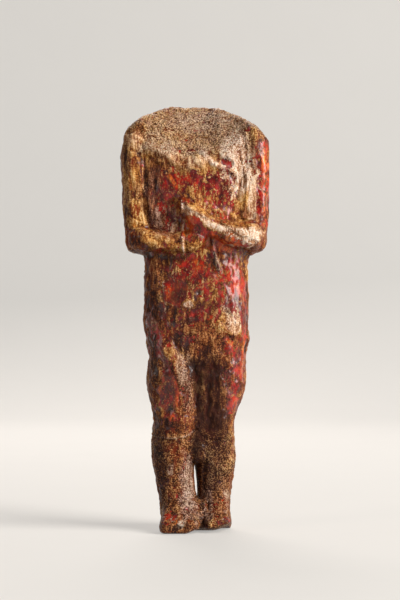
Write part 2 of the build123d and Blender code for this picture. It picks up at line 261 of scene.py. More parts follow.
for path, width, height in strokes.values():
    carved += height * nearLine(path, width)
carved -= 1.0 * nearLine([(0, 68), (0.2, 90), (0, 106)], 1.7, back)  # spine
carved -= 1.3 * nearLine([(0.4, 49), (0.2, 60)], 1.2, back)  # cleft
carved -= 0.6 * nearLine([(-11, 48), (-6, 47), (0.4, 49), (6, 47.4), (11, 48.4)], 0.9, back)
for side in (-1, 1):
    carved += 0.9 * inOval(side * 6.2, 55, 5, 6, 0, back, 0.3)
    carved += 0.8 * inOval(side * 7.6, 99, 4.4, 7.5, side * -12, back, 0.3)
    carved -= 1.0 * nearLine([(side * 13.6, 84), (side * 13.8, 108)], 1.0, back)
    carved -= 0.5 * nearLine([(side * 6.3 - 4, 31), (side * 6.3 + 3, 31)], 0.8, back)
print("carved lines:", len(strokes))


# where the skin is crust, ochre, gritty or lit through, where it is pale, ashen or dark, and where painted
# highlights, painted sheen and painted shade lie
def along(path, width):
    return nearLine(path, width * (1 + 0.35 * wander[:, 1]), front, 0.6)


top = smoothStep(0.35, 0.7, normals[:, 2]) * smoothStep(101, 104, z)
scar = np.maximum(inOval(0, 113.4, 14.4, 7.6, 0, front, 1.4), top)
collar = along(collarLine, 2.8)
forearmCrest = along(leftForearmLine, 1.3)
window = inOval(-7.5, 38.4, 2.7, 6.4)
hipStrip = along([(9.4, 54.6), (11.2, 49.6), (12.6, 44.4)], 1.3)
kneeWindow = along([(8.2, 44), (9.6, 40.4), (11.2, 36)], 1.7)
crustHere = (
    0.45
    + 0.9 * scar
    + 1.7 * collar
    + 1.0 * inOval(8.4, 108, 6.4, 6)
    + 0.8 * inOval(11.6, 98, 2.2, 8)
    + 0.5 * inOval(-17, 98, 5.5, 15)
    + 1.3 * forearmCrest
    + 0.9 * inOval(12.8, 88.4, 4.2, 3.6)
    + 0.7 * inOval(0.8, 81.4, 4.0, 1.8)
    + 0.9 * inOval(-1.8, 65, 1.5, 1.2)
    + 0.9 * inOval(10.2, 58.8, 2.6, 3.6, 10)
    + 0.3 * inOval(-13.4, 66, 3.2, 12)
    + 0.6 * inOval(0, 54, 5, 4)
    + 0.5 * inOval(-3.4, 44, 2.6, 10)
    + 0.6 * inOval(4.4, 40, 4.4, 14)
    + 0.7 * smoothStep(34, 27, z)
    + 0.8 * inOval(1.6, 7, 2.4, 6)
    - 0.95 * inOval(-3.4, 98.6, 6.0, 5.6)
    - 0.9 * inOval(8.4, 96.4, 4.4, 7.4)
    - 0.35 * inOval(1.6, 96, 6, 6)
    + 0.5 * inOval(3.4, 94.4, 4.0, 4.6)
    - 0.7 * inOval(-9.4, 96, 1.6, 8)
    - 1.0 * inOval(-2.2, 85.4, 1.6, 5)
    - 1.2 * inOval(20.2, 97, 2.1, 14)
    - 0.9 * along([(18.6, 110), (18.2, 100), (17.6, 91)], 0.9)
    - 1.5 * inOval(8.2, 81.8, 5.8, 2.6, -8)
    - 1.1 * inOval(0.6, 85.6, 3.4, 1.9, -36)
    - 2.4 * inOval(8.8, 104.2, 2.0, 1.3, -20, front, 0.5)
    - 0.7 * inOval(3.0, 69.4, 9.4, 9.6)
    - 0.5 * inOval(2.0, 75, 4, 4)
    - 0.6 * inOval(-1.2, 54.4, 2.6, 2.8)
    - 0.9 * inOval(-6.6, 68.4, 2.6, 4.4)
    - 0.8 * inOval(-3.0, 60.4, 4.0, 1.5, 14)
    - 1.0 * inOval(11.6, 69, 2.6, 9)
    - 0.9 * inOval(-11.2, 56, 1.9, 5.0, 14)
    - 0.9 * inOval(-2.4, 55.6, 1.6, 2.6)
    - 0.9 * inOval(-9.0, 49, 1.4, 5.6, 8)
    - 1.6 * hipStrip
    - 1.5 * kneeWindow
    - 1.0 * inOval(13.2, 60, 1.3, 14)
    - 1.25 * window
    - 2.6 * inOval(8.6, 2.0, 2.6, 2.0, 14)
    - 1.7 * inOval(-6.6, 4.2, 1.9, 1.5)
    - 2.6 * along([(-6.4, 107.8), (-4.4, 107.7)], 0.6)
    - 2.6 * along([(-2.0, 107.9), (-0.2, 107.8)], 0.5)
    + 0.3 * (1 - front)
    - 1.5 * inOval(-6.4, 95, 3.4, 8, 14, back)
    - 1.3 * inOval(7.6, 66, 2.8, 7.4, -20, back)
    - 1.2 * inOval(4.4, 108, 4.6, 2.6, 12, back)
    - 1.2 * inOval(-6.4, 25, 2.4, 6.4, 0, back)
    - 1.2 * inOval(6, 43, 2.2, 6.4, 10, back)
    + 0.8 * nearLine([(0, 72), (0.2, 90), (0, 106)], 2.4, back)
)
crustHere = crustHere + 0.42 * noise(4.2, 11, 3) + 0.36 * noise(1.6, 23, 2, (1, 1, 1.8))
crustHere = crustHere + 0.2 * noise(9, 31, 2) * (1 - front)

fields = {
    "crust": crustHere,
    "ochre":
        1.2 * collar
        + 0.6 * inOval(2.4, 96, 9, 8)
        + 0.35 * inOval(3, 69, 8, 9)
        + 0.6 * scar
        + 0.7 * inOval(-13.4, 111.6, 3.4, 2.2)
        + 0.7 * inOval(13.6, 112, 3.4, 2.4)
        + 0.45 * inOval(-17, 97, 4, 13)
        + 0.7 * inOval(15.8, 99, 1.8, 12)
        + 0.7 * along(rightForearmLine, 2.6)
        + 0.8 * inOval(11, 101, 4.6, 10)
        + 0.7 * along(leftForearmLine, 2.4)
        + 0.9 * inOval(9.0, 59.4, 4.0, 3.4)
        + 0.5 * inOval(12.6, 76, 2, 5)
        + 0.4 * inOval(-6.4, 72, 3.4, 8)
        + 0.4 * inOval(-5, 50, 3, 5)
        + 0.4 * inOval(10.6, 28, 1.6, 16)
        + 0.5 * inOval(-3.6, 3.0, 1.6, 2)
        + 0.5 * inOval(4.4, 2.6, 1.6, 1.6)
        + 0.45 * smoothStep(0.0, 0.7, noise(4.4, 91, 3))
        + 0.6 * inOval(8.4, 98, 5, 9, -10, back)
        + 0.6 * inOval(-5.6, 55, 4.6, 6, 0, back)
        + 0.5 * inOval(7.4, 24, 2.8, 12, 0, back)
        + 0.2 * (1 - front),
    # cream crust and pale grains, with painted highlights and sheen where the key light catches
    "pale_and_painted_highlight":
        # cream crust on the left breast, partly painted sheen
        0.75 * inOval(10.8, 103, 3.8, 9)
        + 0.45 * collar
        + 0.45 * inOval(12.6, 105, 3.0, 9)
        + 0.85 * along(leftForearmLine, 1.3)
        + 0.6 * inOval(16.2, 98, 1.8, 12)
        # painted highlight on the left elbow
        + 1.1 * inOval(12.8, 82.9, 4.2, 2.6)
        # painted highlight down the outer left arm
        + 0.5 * along([(18.6, 110), (18.2, 92)], 0.7)
        + 0.9 * along([(2.0, 107), (4.4, 104.6), (7.2, 102.6), (10.6, 101.8)], 0.6)
        + 0.9 * inOval(-1.8, 65, 1.3, 1)
        + 0.9 * along([(-4.1, 94), (-3.8, 89.6), (-3.3, 78.4)], 0.36)
        + 1.0 * along([(4.4, 84.4), (5.2, 80), (6.8, 73.6)], 0.45)
        + 0.8 * along([(-8.6, 71), (-8.2, 62)], 0.4)
        + 0.6 * inOval(10.4, 59, 2.4, 2.6)
        # painted light on the inner side of the right thigh, which faces the key light
        + 0.4 * inOval(-3.6, 45.4, 1.8, 6.4, 12)
        + 0.5 * inOval(10, 66, 2, 6)
        + 0.5 * along([(-10.4, 27.0), (-6.4, 26.6), (-3.4, 27.2), (0.1, 28.4)], 0.35)
        # painted sheen on the inner side of the right shin
        + 0.5 * inOval(-2.2, 14, 1.9, 8)
        + 0.5 * inOval(-7, 18, 0.9, 1.6)
        + 0.5 * inOval(-4.0, 3.4, 1.2, 1.6)
        + 0.5 * inOval(8.6, 8.4, 1.0, 3.6)
        + 0.2 * scar
        + 0.25 * inOval(2, 115, 9, 3)
        + 1.3 * inOval(-3.9, 2.6, 0.7, 1.3, 0, front, 0.3)
        + 1.2 * inOval(-6.0, 4.6, 0.9, 0.5, 30, front, 0.3)
        + 0.3 * smoothStep(0.1, 0.7, noise(3.4, 47, 2)) * (1 - front),
    # painted shade in grooves, creases and pits and on the sides turned from the key light, with a few darker
    # patches of its own
    "dark_and_painted_shade":
        # painted shade in the carved grooves of the back: spine, cleft, between the legs, beside the arms and
        # above the seat
        0.85 * nearLine([(0, 66), (0.2, 90), (0, 107)], 1.6, back)
        + 0.95 * nearLine([(0.4, 47), (0.2, 60)], 1.4, back)
        + 0.9 * nearLine([(0.2, 20), (0.2, 46)], 1.6, back)
        + 0.7 * nearLine([(-13.6, 84), (-13.8, 108)], 1.1, back)
        + 0.7 * nearLine([(13.6, 84), (13.8, 108)], 1.1, back)
        + 0.6 * nearLine([(-11, 48), (-6, 47), (0.4, 49), (6, 47.4), (11, 48.4)], 1.2, back)
        # painted shade on the right flank, turned from the key light, over a darker colour of its own
        + 0.85 * inOval(-14.4, 68, 2.6, 12)
        + 0.5 * inOval(4.6, 113.2, 3.2, 4.2)
        + 0.4 * inOval(-10, 113.4, 3, 2)
        # painted shade in the groin, between the legs and in the groove of the right arm
        + 0.8 * along([(-6, 55), (-3, 50.4), (-0.6, 47.4)], 1.5)
        + 0.9 * along([(0.6, 46), (0.9, 36), (0.6, 24), (0, 18)], 1.2)
        + 0.8 * along([(-15.2, 108), (-14.1, 102), (-13.7, 95)], 0.7)
        + 0.6 * inOval(-10.6, 88, 2.6, 4.4, 20)
        # painted shadow under the folded arms, and painted shade in the navel
        + 0.9 * along([(-13, 78.8), (-8, 77.2), (-3, 77.4)], 1.0)
        + 1.0 * inOval(1.1, 67.9, 0.6, 0.8, 0, front, 0.1)
        # painted shade on the right flank
        + 0.5 * inOval(-9.6, 66, 1.4, 10)
        # painted shade on the outer side of the right leg, turned from the key light, and over the left leg,
        # which stands back in shade
        + 0.75 * inOval(-10.0, 17, 2.6, 15)
        + 1.1 * inOval(4.4, 23.6, 5.0, 14.6)
        + 1.0 * inOval(4.6, 40, 5.4, 12)
        + 0.65 * inOval(-12, 42, 2.4, 13)
        + 0.4 * inOval(-8.6, 30, 2.4, 3)
        + 0.9 * inOval(-5.2, 2.0, 2.4, 1.3)
        + 0.5 * inOval(2.6, 5, 1.4, 6)
        + 0.6 * inOval(3, 45.6, 5, 4.6)
        + 0.6 * inOval(-7.2, 41, 1.9, 4.6)
        + 0.5 * inOval(-1.4, 54.6, 2.4, 2.4)
        + 0.4 * inOval(0, 66, 9, 11)
        + 1.2 * inOval(-5.0, 1.6, 1.1, 0.8, 0, front, 0.3)
        # painted shade on the outer side of the right arm, turned from the key light
        + 0.6 * inOval(-19.4, 98, 1.6, 14)
        # painted shade in the belly fold
        + 0.5 * inOval(-2.8, 59.6, 4, 1.2, 12)
        + 0.4 * smoothStep(0.0, 0.8, noise(5, 61, 3)),
    # ashen crust, and painted lilac sheen on the inner right leg and the web between the shins
    "ash_and_painted_sheen":
        0.5 * scar
        # painted sheen on the inner side of the right thigh
        + 0.5 * inOval(-2.0, 43, 1.8, 9)
        # painted sheen on the inner side of the right shin
        + 0.8 * inOval(-2.6, 13, 2.6, 10)
        + 0.45 * inOval(-11.8, 97, 2.6, 7)
        + 0.6 * inOval(-8.6, 88, 4.4, 5)
        # painted sheen on the web between the shins, like that of the shin
        + 0.6 * inOval(1.6, 7, 2.6, 7)
        + 0.9 * inOval(-6.6, 68.4, 2.4, 4)
        + 0.6 * inOval(-11.2, 56, 1.9, 5, 14)
        + 0.3 * inOval(6, 14, 4, 12)
        + 0.4 * inOval(-9.0, 49, 1.4, 5, 8),
    "grit":
        1.0 * scar
        + 0.55 * smoothStep(34, 24, z)
        + 0.4 * inOval(-2.6, 41, 2.4, 10)
        + 0.3 * smoothStep(0, 0.6, noise(8, 77, 2)),
    "glow":
        1.1 * inOval(20, 98, 1.6, 13)
        + 1.1 * inOval(8.8, 82.2, 5.0, 2.3)
        + 0.5 * inOval(1.8, 75.4, 3, 3.6) * smoothStep(-0.2, 0.5, noise(2.2, 71, 2))
        + 0.3 * inOval(13.8, 58, 1.2, 16)
        + 0.7 * along(windowRim, 0.5)
        + 0.6 * inOval(10, 54, 1.2, 1.6)
        + 1.2 * along([(-7.9, 101), (-6.2, 98.8), (-4.6, 97.2)], 0.45)
        + 0.6 * inOval(-2.4, 86, 2, 4)
        + 0.8 * inOval(-5.4, 4.0, 2.0, 1.0, 20)
        + 0.4 * inOval(13.4, 42, 1.0, 10)
        + 0.6 * inOval(-4.2, 4.0, 2.0, 1.4)
        + 0.5 * inOval(9.8, 6, 1.0, 3)
        + 0.35 * smoothStep(0.2, 0.8, noise(3, 73, 2)),
}
fields = {name: np.clip(values, -1.5, 2) for name, values in fields.items()}

# the grain runs down the body and turns to follow the collar and the folded forearms
lies = [
    ((1, -0.45), collar), ((1, -0.28), along(leftForearmLine, 3.0)),
    ((1, -0.5), along(rightForearmLine[:3], 3.4)), ((1, 0.1), along(rightForearmLine[2:], 2.2))]
onArms = smoothStep(12.4, 14.4, np.abs(x)) * smoothStep(84, 88, z)


# noise whose long way follows the limbs; sharp makes narrow crests of it
def flowing(size, seed, octaves, stretch, bend, sharp=False):
    total, weight = 0, 0
    left = np.maximum(1 - sum(share for _, share in lies), 0)
    shares = [((0.04, 1), left * (1 - onArms), 1), ((-0.03, 1), left * onArms, 3.6)]  # long on the arms
    for lie, share, longer in shares + [(*each, 1.3) for each in lies]:
        one = noise(size, seed, octaves, (1, 1, stretch * longer), lie, bend)
        total = total + share * (0.55 - 2.2 * np.abs(one) if sharp else one)
        weight = weight + share ** 2
    return total / np.sqrt(np.maximum(weight, 0.2))


grit = np.clip(fields["grit"], 0, 1)
skinned = smoothStep(-0.4, 0.4, crustHere)
crests = np.clip(flowing(2.1, 9, 3, 3.6, 0.9, True), -1.2, 0.6)
fibres = flowing(0.95, 15, 2, 6, 0.5)
granules = noise(0.8, 13, 2)
hipDents = inOval(11.2, 62, 4.2, 22) + inOval(19.6, 98, 2.6, 14, 0, 1)
fine = (
    sculpt["crests"] * crests * (0.2 + 0.8 * skinned) * (1 - 0.8 * grit)
    + sculpt["fibres"] * fibres * (0.3 + 0.7 * skinned) * (1 - 0.7 * grit)
    + sculpt["granules"] * granules * (0.2 + grit)
    + sculpt["dimples"] * noise(2.3, 5, 2, (1, 1, 1.5)) * (1 - 0.6 * grit)
    + sculpt["dents"] * noise(1.9, 43, 2, (1, 1, 1.6)) * hipDents
)
ridge = crests * (1 - 0.7 * grit) + 0.5 * fibres * (1 - 0.5 * grit) + 0.5 * granules * grit + 0.1
fields["ridge"] = np.clip(ridge, -1, 1)
toes = inOval(-5, 3, 3.4, 3) + 0.4 * inOval(5, 2, 5, 2)
relief = carved + sculpt["lumps"] * noise(7, 3, 2) + fine + 0.1 * skinned + 0.35 * toes * noise(1.5, 19, 2)
relief = relief + sculpt["fuller arm"] * inOval(21, 98, 2.5, 16, 0, 1)
relief = relief + sculpt["fuller hip"] * smoothStep(9, 13, x) * smoothStep(53, 49, z) * smoothStep(36, 42, z)
waist = smoothStep(56, 60, z) * smoothStep(80, 76, z)
relief = relief + sculpt["fuller waist"] * smoothStep(-11, -13, x) * waist
relief = relief + sculpt["fuller shin"] * smoothStep(7, 9, x) * smoothStep(5, 8, z) * smoothStep(24, 20, z)
relief = np.where(onSole, 0, relief * smoothStep(0, 1.5, z))
corePoints = points + normals * (relief * unit)[:, None]
corePoints = corePoints + sculpt["settle"] * (neighbourMean(corePoints) - corePoints)

# how the carving leaves the blank, in mm
drift = {
    "hang": 0.013,  # how much lower it sits below the neck, as a share of its height there
    "shoulders": [  # how much higher its shoulder line is, at places across it
        (-20, -1), (-18, -1), (-15, -0.6), (-8, 0.5), (-5, 0.5), (-3, 0),
        (4, 0.3), (6.5, 0.6), (9, 0), (12, -0.4), (17, -0.7), (20, -1.2)],
    "web at": 1.2,  # where the web between the shins is
    "web width": 2.2,
    "web down": 2.2,  # how far it comes down
    "web back": 2.6,  # and goes back
    "right sole": 1.3,  # how far the rims of the soles are worn up: at the outer side of the right foot,
    "inner toes": 1.3,  # at its inner toes,
    "left sole": 1.7,  # at the outer side of the left foot,
    "front rim": 0.5,  # at the front
    "heels": 0.5,  # and at the heels
    "rim height": 7,  # how far up the wear of the soles reaches
}
hang = drift["hang"] * z * smoothStep(118, 108, z)
shoulders = np.interp(x, *np.array(drift["shoulders"]).T)
betweenAnkles = np.exp(-((x - drift["web at"]) / drift["web width"]) ** 2)
web = betweenAnkles * smoothStep(3, 11, z) * smoothStep(19, 12, z)
worn = (
    drift["right sole"] * smoothStep(-8.4, -11.4, x)
    + drift["inner toes"] * smoothStep(-3, 1.2, x) * smoothStep(-2, -8, y)
    + drift["left sole"] * smoothStep(4.6, 10.6, x) * smoothStep(4, -4, y)
    + drift["front rim"] * smoothStep(-10.4, -12.6, y)
    + drift["heels"] * smoothStep(8.5, 11, y)
)
worn = worn * np.clip(1 - z / drift["rim height"], 0, 1) ** 2
corePoints[:, 2] += unit * (worn - hang - drift["web down"] * web + shoulders * smoothStep(101, 110, z))
webShare = betweenAnkles * smoothStep(3, 12, z) * smoothStep(17, 13, z) * smoothStep(-2, -5, y)
corePoints[:, 1] += unit * drift["web back"] * webShare
corePoints = np.clip(corePoints, low, high)
coreNormals = vertexNormals(corePoints)
print("relief from", round(float(relief.min()), 2), "to", round(float(relief.max()), 2), "mm")


# a mesh object in metres, with the fields as its attributes
def meshObject(name, verts, faces, attributes):
    mesh = bpy.data.meshes.new(name)
    mesh.from_pydata((verts * mm).tolist(), [], faces.tolist())
    for attributeName, values in attributes.items():
        layer = mesh.attributes.new(attributeName, "FLOAT", "POINT")
        layer.data.foreach_set("value", values.astype(np.float32))
    mesh.shade_smooth()
    piece = bpy.data.objects.new(name, mesh)
    bpy.context.collection.objects.link(piece)
    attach(piece, "root")
    return piece


core = meshObject("amber_core", corePoints, quads, fields)
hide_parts("amber_body")
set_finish(core, "red_amber")

# plates of crust, lifted off the sculpted surface where the CAD plates lie
plate = {
    "reach": 0.75,  # how near a CAD plate the surface has to be to carry crust
    "above": 0.25,  # how far above the blank that is asked
    "thickness": 0.15,  # how far it stands above the amber
    "edge": 0.06,  # how far its thin edge goes into the amber
    "sunk": 0.45,  # how far it goes down into it
    "ragged": 0.55,  # how far its edge wanders, up to
    "chips": 0.1,  # and how much the edge is chipped
    "bare below": -0.1,  # depth of crust under which the amber is bare
    "rim": 0.4,  # how far in from its edge it reaches its full height
    "smallest": 60,  # faces in the smallest patch that is kept
}
edgeWander = np.stack([noise(2.4, 101), noise(2.4, 151), noise(2.4, 191)], axis=1)
chips = noise(0.9, 211, 2)
taken = np.zeros(len(points), bool)


def sidesOf(faces):
    return np.stack([faces, np.roll(faces, -1, axis=1)], axis=2).reshape(-1, 2)


def openSides(faces):
    sides = sidesOf(faces)
    index, times = np.unique(np.sort(sides, axis=1), axis=0, return_inverse=True, return_counts=True)[1:]
    return sides[times[index.ravel()] == 1]


# leaves out corners where a patch would touch itself, and patches that are mere crumbs
def wholePatches(faces, smallest):
    for _ in range(12):
        touching = np.bincount(openSides(faces).ravel(), minlength=len(points)) > 2
        if not touching.any():
            break
        faces = faces[~touching[faces].any(axis=1)]
    label = np.arange(len(points))
    for _ in range(4000):
        renewed = label.copy()
        np.minimum.at(renewed, faces.ravel(), np.repeat(label[faces].min(axis=1), 4))
        if (renewed == label).all():
            break
        label = renewed
    sizes = np.bincount(label[faces[:, 0]], minlength=len(points))
    return faces[sizes[label[faces[:, 0]]] >= smallest]


def crustPlate(nodeName, slotName):
    cad = nodes[nodeName].data
    verts = [tuple(v.co / mm) for v in cad.vertices]
    tree = BVHTree.FromPolygons(verts, [tuple(f.vertices) for f in cad.polygons])
    lowest, highest = np.min(verts, axis=0) - 2, np.max(verts, axis=0) + 2
    near = np.flatnonzero(((points > lowest) & (points < highest)).all(axis=1) & ~taken)
    asked = points[near] + normals[near] * plate["above"] + plate["ragged"] * edgeWander[near]
    away = np.array([tree.find_nearest(Vector(place))[3] for place in asked])
    inside = np.full(len(points), -1.0)
    inside[near] = np.minimum(plate["reach"] - away, 0.5 * (crustHere[near] - plate["bare below"]))
    inside[near] += plate["chips"] * chips[near]
    faces = wholePatches(quads[(inside[quads] > 0).all(axis=1)], plate["smallest"])
    used = np.unique(faces)
    taken[used] = True
    order = np.full(len(points), -1)
    order[used] = np.arange(len(used))
    height = smoothStep(0, plate["rim"], inside[used]) * (plate["thickness"] + plate["edge"]) - plate["edge"]
    outer = corePoints[used] + coreNormals[used] * (height * unit)[:, None]
    inner = corePoints[used] - coreNormals[used] * plate["sunk"] * unit
    outer, inner = np.clip(outer, low, high), np.clip(inner, low, high)
    rim, cover, n = order[openSides(faces)], order[faces], len(used)
    wall = np.stack([rim[:, 1], rim[:, 0], rim[:, 0] + n, rim[:, 1] + n], axis=1)
    allFaces = np.concatenate([cover, cover[:, ::-1] + n, wall])
    attributes = {name: np.tile(values[used], 2) for name, values in fields.items()}
    piece = meshObject(nodeName + "_shell", np.concatenate([outer, inner]), allFaces, attributes)
    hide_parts(nodeName)
    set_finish(piece, slotName)
    print("  ", nodeName, len(faces), "faces")
    return piece


slots = {part["node"]: part["material_slot"] for part in frame["record"]["subparts"]}
slots.pop("amber_body")
plates = [crustPlate(nodeName, slotName) for nodeName, slotName in slots.items()]
print("crust plates:", len(plates))


# adds one node, sets or links its inputs, and gives back one of its outputs
def addNode(tree, kind, inputs=None, out=0, **settings):
    node = tree.nodes.new("ShaderNode" + kind)
    for name, value in settings.items():
        setattr(node, name, value)
    for socket, value in (inputs or {}).items():
        if isinstance(value, bpy.types.NodeSocket):
            tree.links.new(value, node.inputs[socket])
        else:
            node.inputs[socket].default_value = value
    return node.outputs[out] if len(node.outputs) else None


def newMaterial(name):
    material = bpy.data.materials.new(name)
    material.use_nodes = True
    material.node_tree.nodes.clear()
    return material, material.node_tree


amber = {
    "deep": [(0.34, "280201"), (0.44, "600602"), (0.54, "9A1003"), (0.67, "C83208")],  # heart to bright red
    "lit": [(0.34, "96220A"), (0.5, "CA4E12"), (0.66, "E48C34")],  # where light comes through
    "vein": "C08A4A",
    "speck": "260705",
    "polish": 0.22,  # roughness where it is clean
    "worn": 0.42,
    "depth": 1.2,  # how far light goes in, in mm
    "reach": (1.0, 0.22, 0.08),  # and how much of that red, green and blue light goes
    "glassy": 0.14,  # share of the light that goes in where it is bare
    "glassy cracks": 0.1,  # and where it shows between the flakes of a plate
}
skins = {
    "brown": [(0.27, "200B05"), (0.39, "481F0C"), (0.5, "703718"), (0.61, "A05E2E"), (0.76, "D29A64")],
    "ochre": [(0.25, "3C1805"), (0.37, "8A4A15"), (0.48, "BE7C38"), (0.59, "DCA85E"), (0.74, "F2CF9A")],
    # the pale and ash ramps also colour painted highlights and painted sheen
    "pale_and_painted_highlight": [(0.25, "82482C"), (0.37, "C0875F"), (0.48, "E4BA96"), (0.6, "FAE6D4")],
    "ash_and_painted_sheen": [(0.27, "24100A"), (0.39, "623C2C"), (0.51, "98705E"), (0.66, "D6B4A4")],
    "rust": "842A0C",
    # hollow is also the colour of the painted shade
    "hollow": "2E1008",
    "broken edge": "2E0E06",
}
# noise in the stone and its skin: size in mm, detail, roughness, how it is drawn out, shift, bend;
# fibres and grit are finer on a real one, and are drawn as coarse as it takes for them to show
grains = {
    "clouds": (3.6, 6, 0.68, (1, 1, 1.4), 4.8, 0.0),
    "light": (2.0, 6, 0.7, (1, 1, 1.8), 7.2, 0.0),
    "veins": (1.3, 6, 0.74, (1, 1, 1.5), 5.7, 1.6),
    "specks": (0.8, 5, 0.72, (1, 1, 1.6), 9.2, 0.0),
    "smears": (1.8, 5, 0.6, (1, 1, 1), 7.7, 0.0),
    "flakes": (1.9, 6, 0.68, (1, 1, 1.7), 3.3, 0.6),
    "crumbs": (0.7, 5, 0.7, (1, 1, 1.4), 6.6, 0.0),
    "fibres": (0.5, 4, 0.64, (1, 1, 7), 2.2, 0.0),
    "grit": (0.4, 3, 0.72, (1, 1, 1), 9.1, 0.0),
    "coarse": (1.2, 5, 0.64, (1, 1, 3), 1.7, 0.4),
    "rust": (2.2, 6, 0.7, (1, 1, 1.6), 8.4, 0.0),
}
# layers of the skin: their field, the noise that makes them ragged, from, to, its least share, and their most
layers = [
    ("ochre", "flakes", 0.34, 0.54, 0.35, 1.0),
    # the ash layer also lays painted sheen
    ("ash_and_painted_sheen", "coarse", 0.36, 0.6, 0.35, 0.75),
    # the pale layer also lays painted highlights
    ("pale_and_painted_highlight", "flakes", 0.34, 0.52, 0.4, 0.9),
]
crusts = {
    "tan_crust": {"cover": 0.25, "smooth": 0.34, "rough": 0.62},  # ochre, on the arms, collar and back
    "cream_crust": {"cover": 0.3, "smooth": 0.3, "rough": 0.55},  # waxier, on the breast and left forearm
    "grey_brown_crust": {"cover": 0.2, "smooth": 0.38, "rough": 0.64},  # drier, on the neck break and legs
}
# the grain and the shine of the whole surface
finish = {
    "bump": 0.55,  # how high the grain stands, in mm
    "bump strength": 0.9,
    "crack cell": 2.2,  # across one cell of the cracks, in mm
    "crack bend": 0.9,  # how far the cracks wander, as a share of a cell
    "crack width": 0.05,  # as a share of a cell
    "crack depth": 0.2,  # as a share of the bump
    "IOR": 1.54,
    "specular": 0.1,  # low under the coat, so that hollows stay dark
    "coat on amber": 0.8,
    "coat on crust": 0.1,
    "coat roughness": 0.26,
    "milky crust": 0.04,  # share of the light that goes into the crust
}
# how much each noise adds to the depth of the crust, and what is taken off for their middle
crustDepth = {"flakes": 7.4, "crumbs": 7.0, "ridge": 0.3, "middle": 7.2}
crustEdge = 0.12  # how soft the line between amber and crust is, on the same scale
# how much each noise adds to the height of the grain
heights = {
    "middle": 0.48,
    "coarse": 0.5,
    "ridge": 0.14,
    "ridge in the clouds": 0.05,  # crests are a little brighter red
    "crumbs on amber": 0.3,
    "coarse on amber": 0.35,
    "crust": 1.1,  # how much stronger the grain is on crust
    "step": 0.2,  # and how much higher it stands
}
# from where to where, on sockets 1 and 2, a field or a noise turns into a share, and its least and its most,
# on sockets 3 and 4
ranges = {
    "fibres stand": {1: 0.1, 2: 0.9, 3: 0.85, 4: 0.15},  # lower where it is gritty
    "grit stands": {1: 0.0, 2: 0.9, 3: 0.9, 4: 3.1},  # and grit higher
    "glow": {1: 0.0, 2: 0.9},
    "glowing patches": {1: 0.38, 2: 0.56},
    "veins": {1: 0.55, 2: 0.595},
    "broken veins": {1: 0.42, 2: 0.54, 4: 0.9},
    "specks": {1: 0.57, 2: 0.62, 4: 0.7},
    "skin": {1: 0.1, 2: 0.85},
    "rust": {1: 0.49, 2: 0.6, 4: 0.8},
    "rusty hollows": {1: 0.62, 2: 0.42},
    "dark hollows": {1: 0.66, 2: 0.4, 3: 0.45},
    "dark_and_painted_shade": {1: 0.05, 2: 1.0, 4: 0.86},
    "outside the edge": {1: -0.3, 2: -0.1, 4: 0.6},
    "inside the edge": {1: 0.1, 2: -0.05},
    "smears": {1: 0.38, 2: 0.62},
    "dull patches": {1: 0.36, 2: 0.62},
}


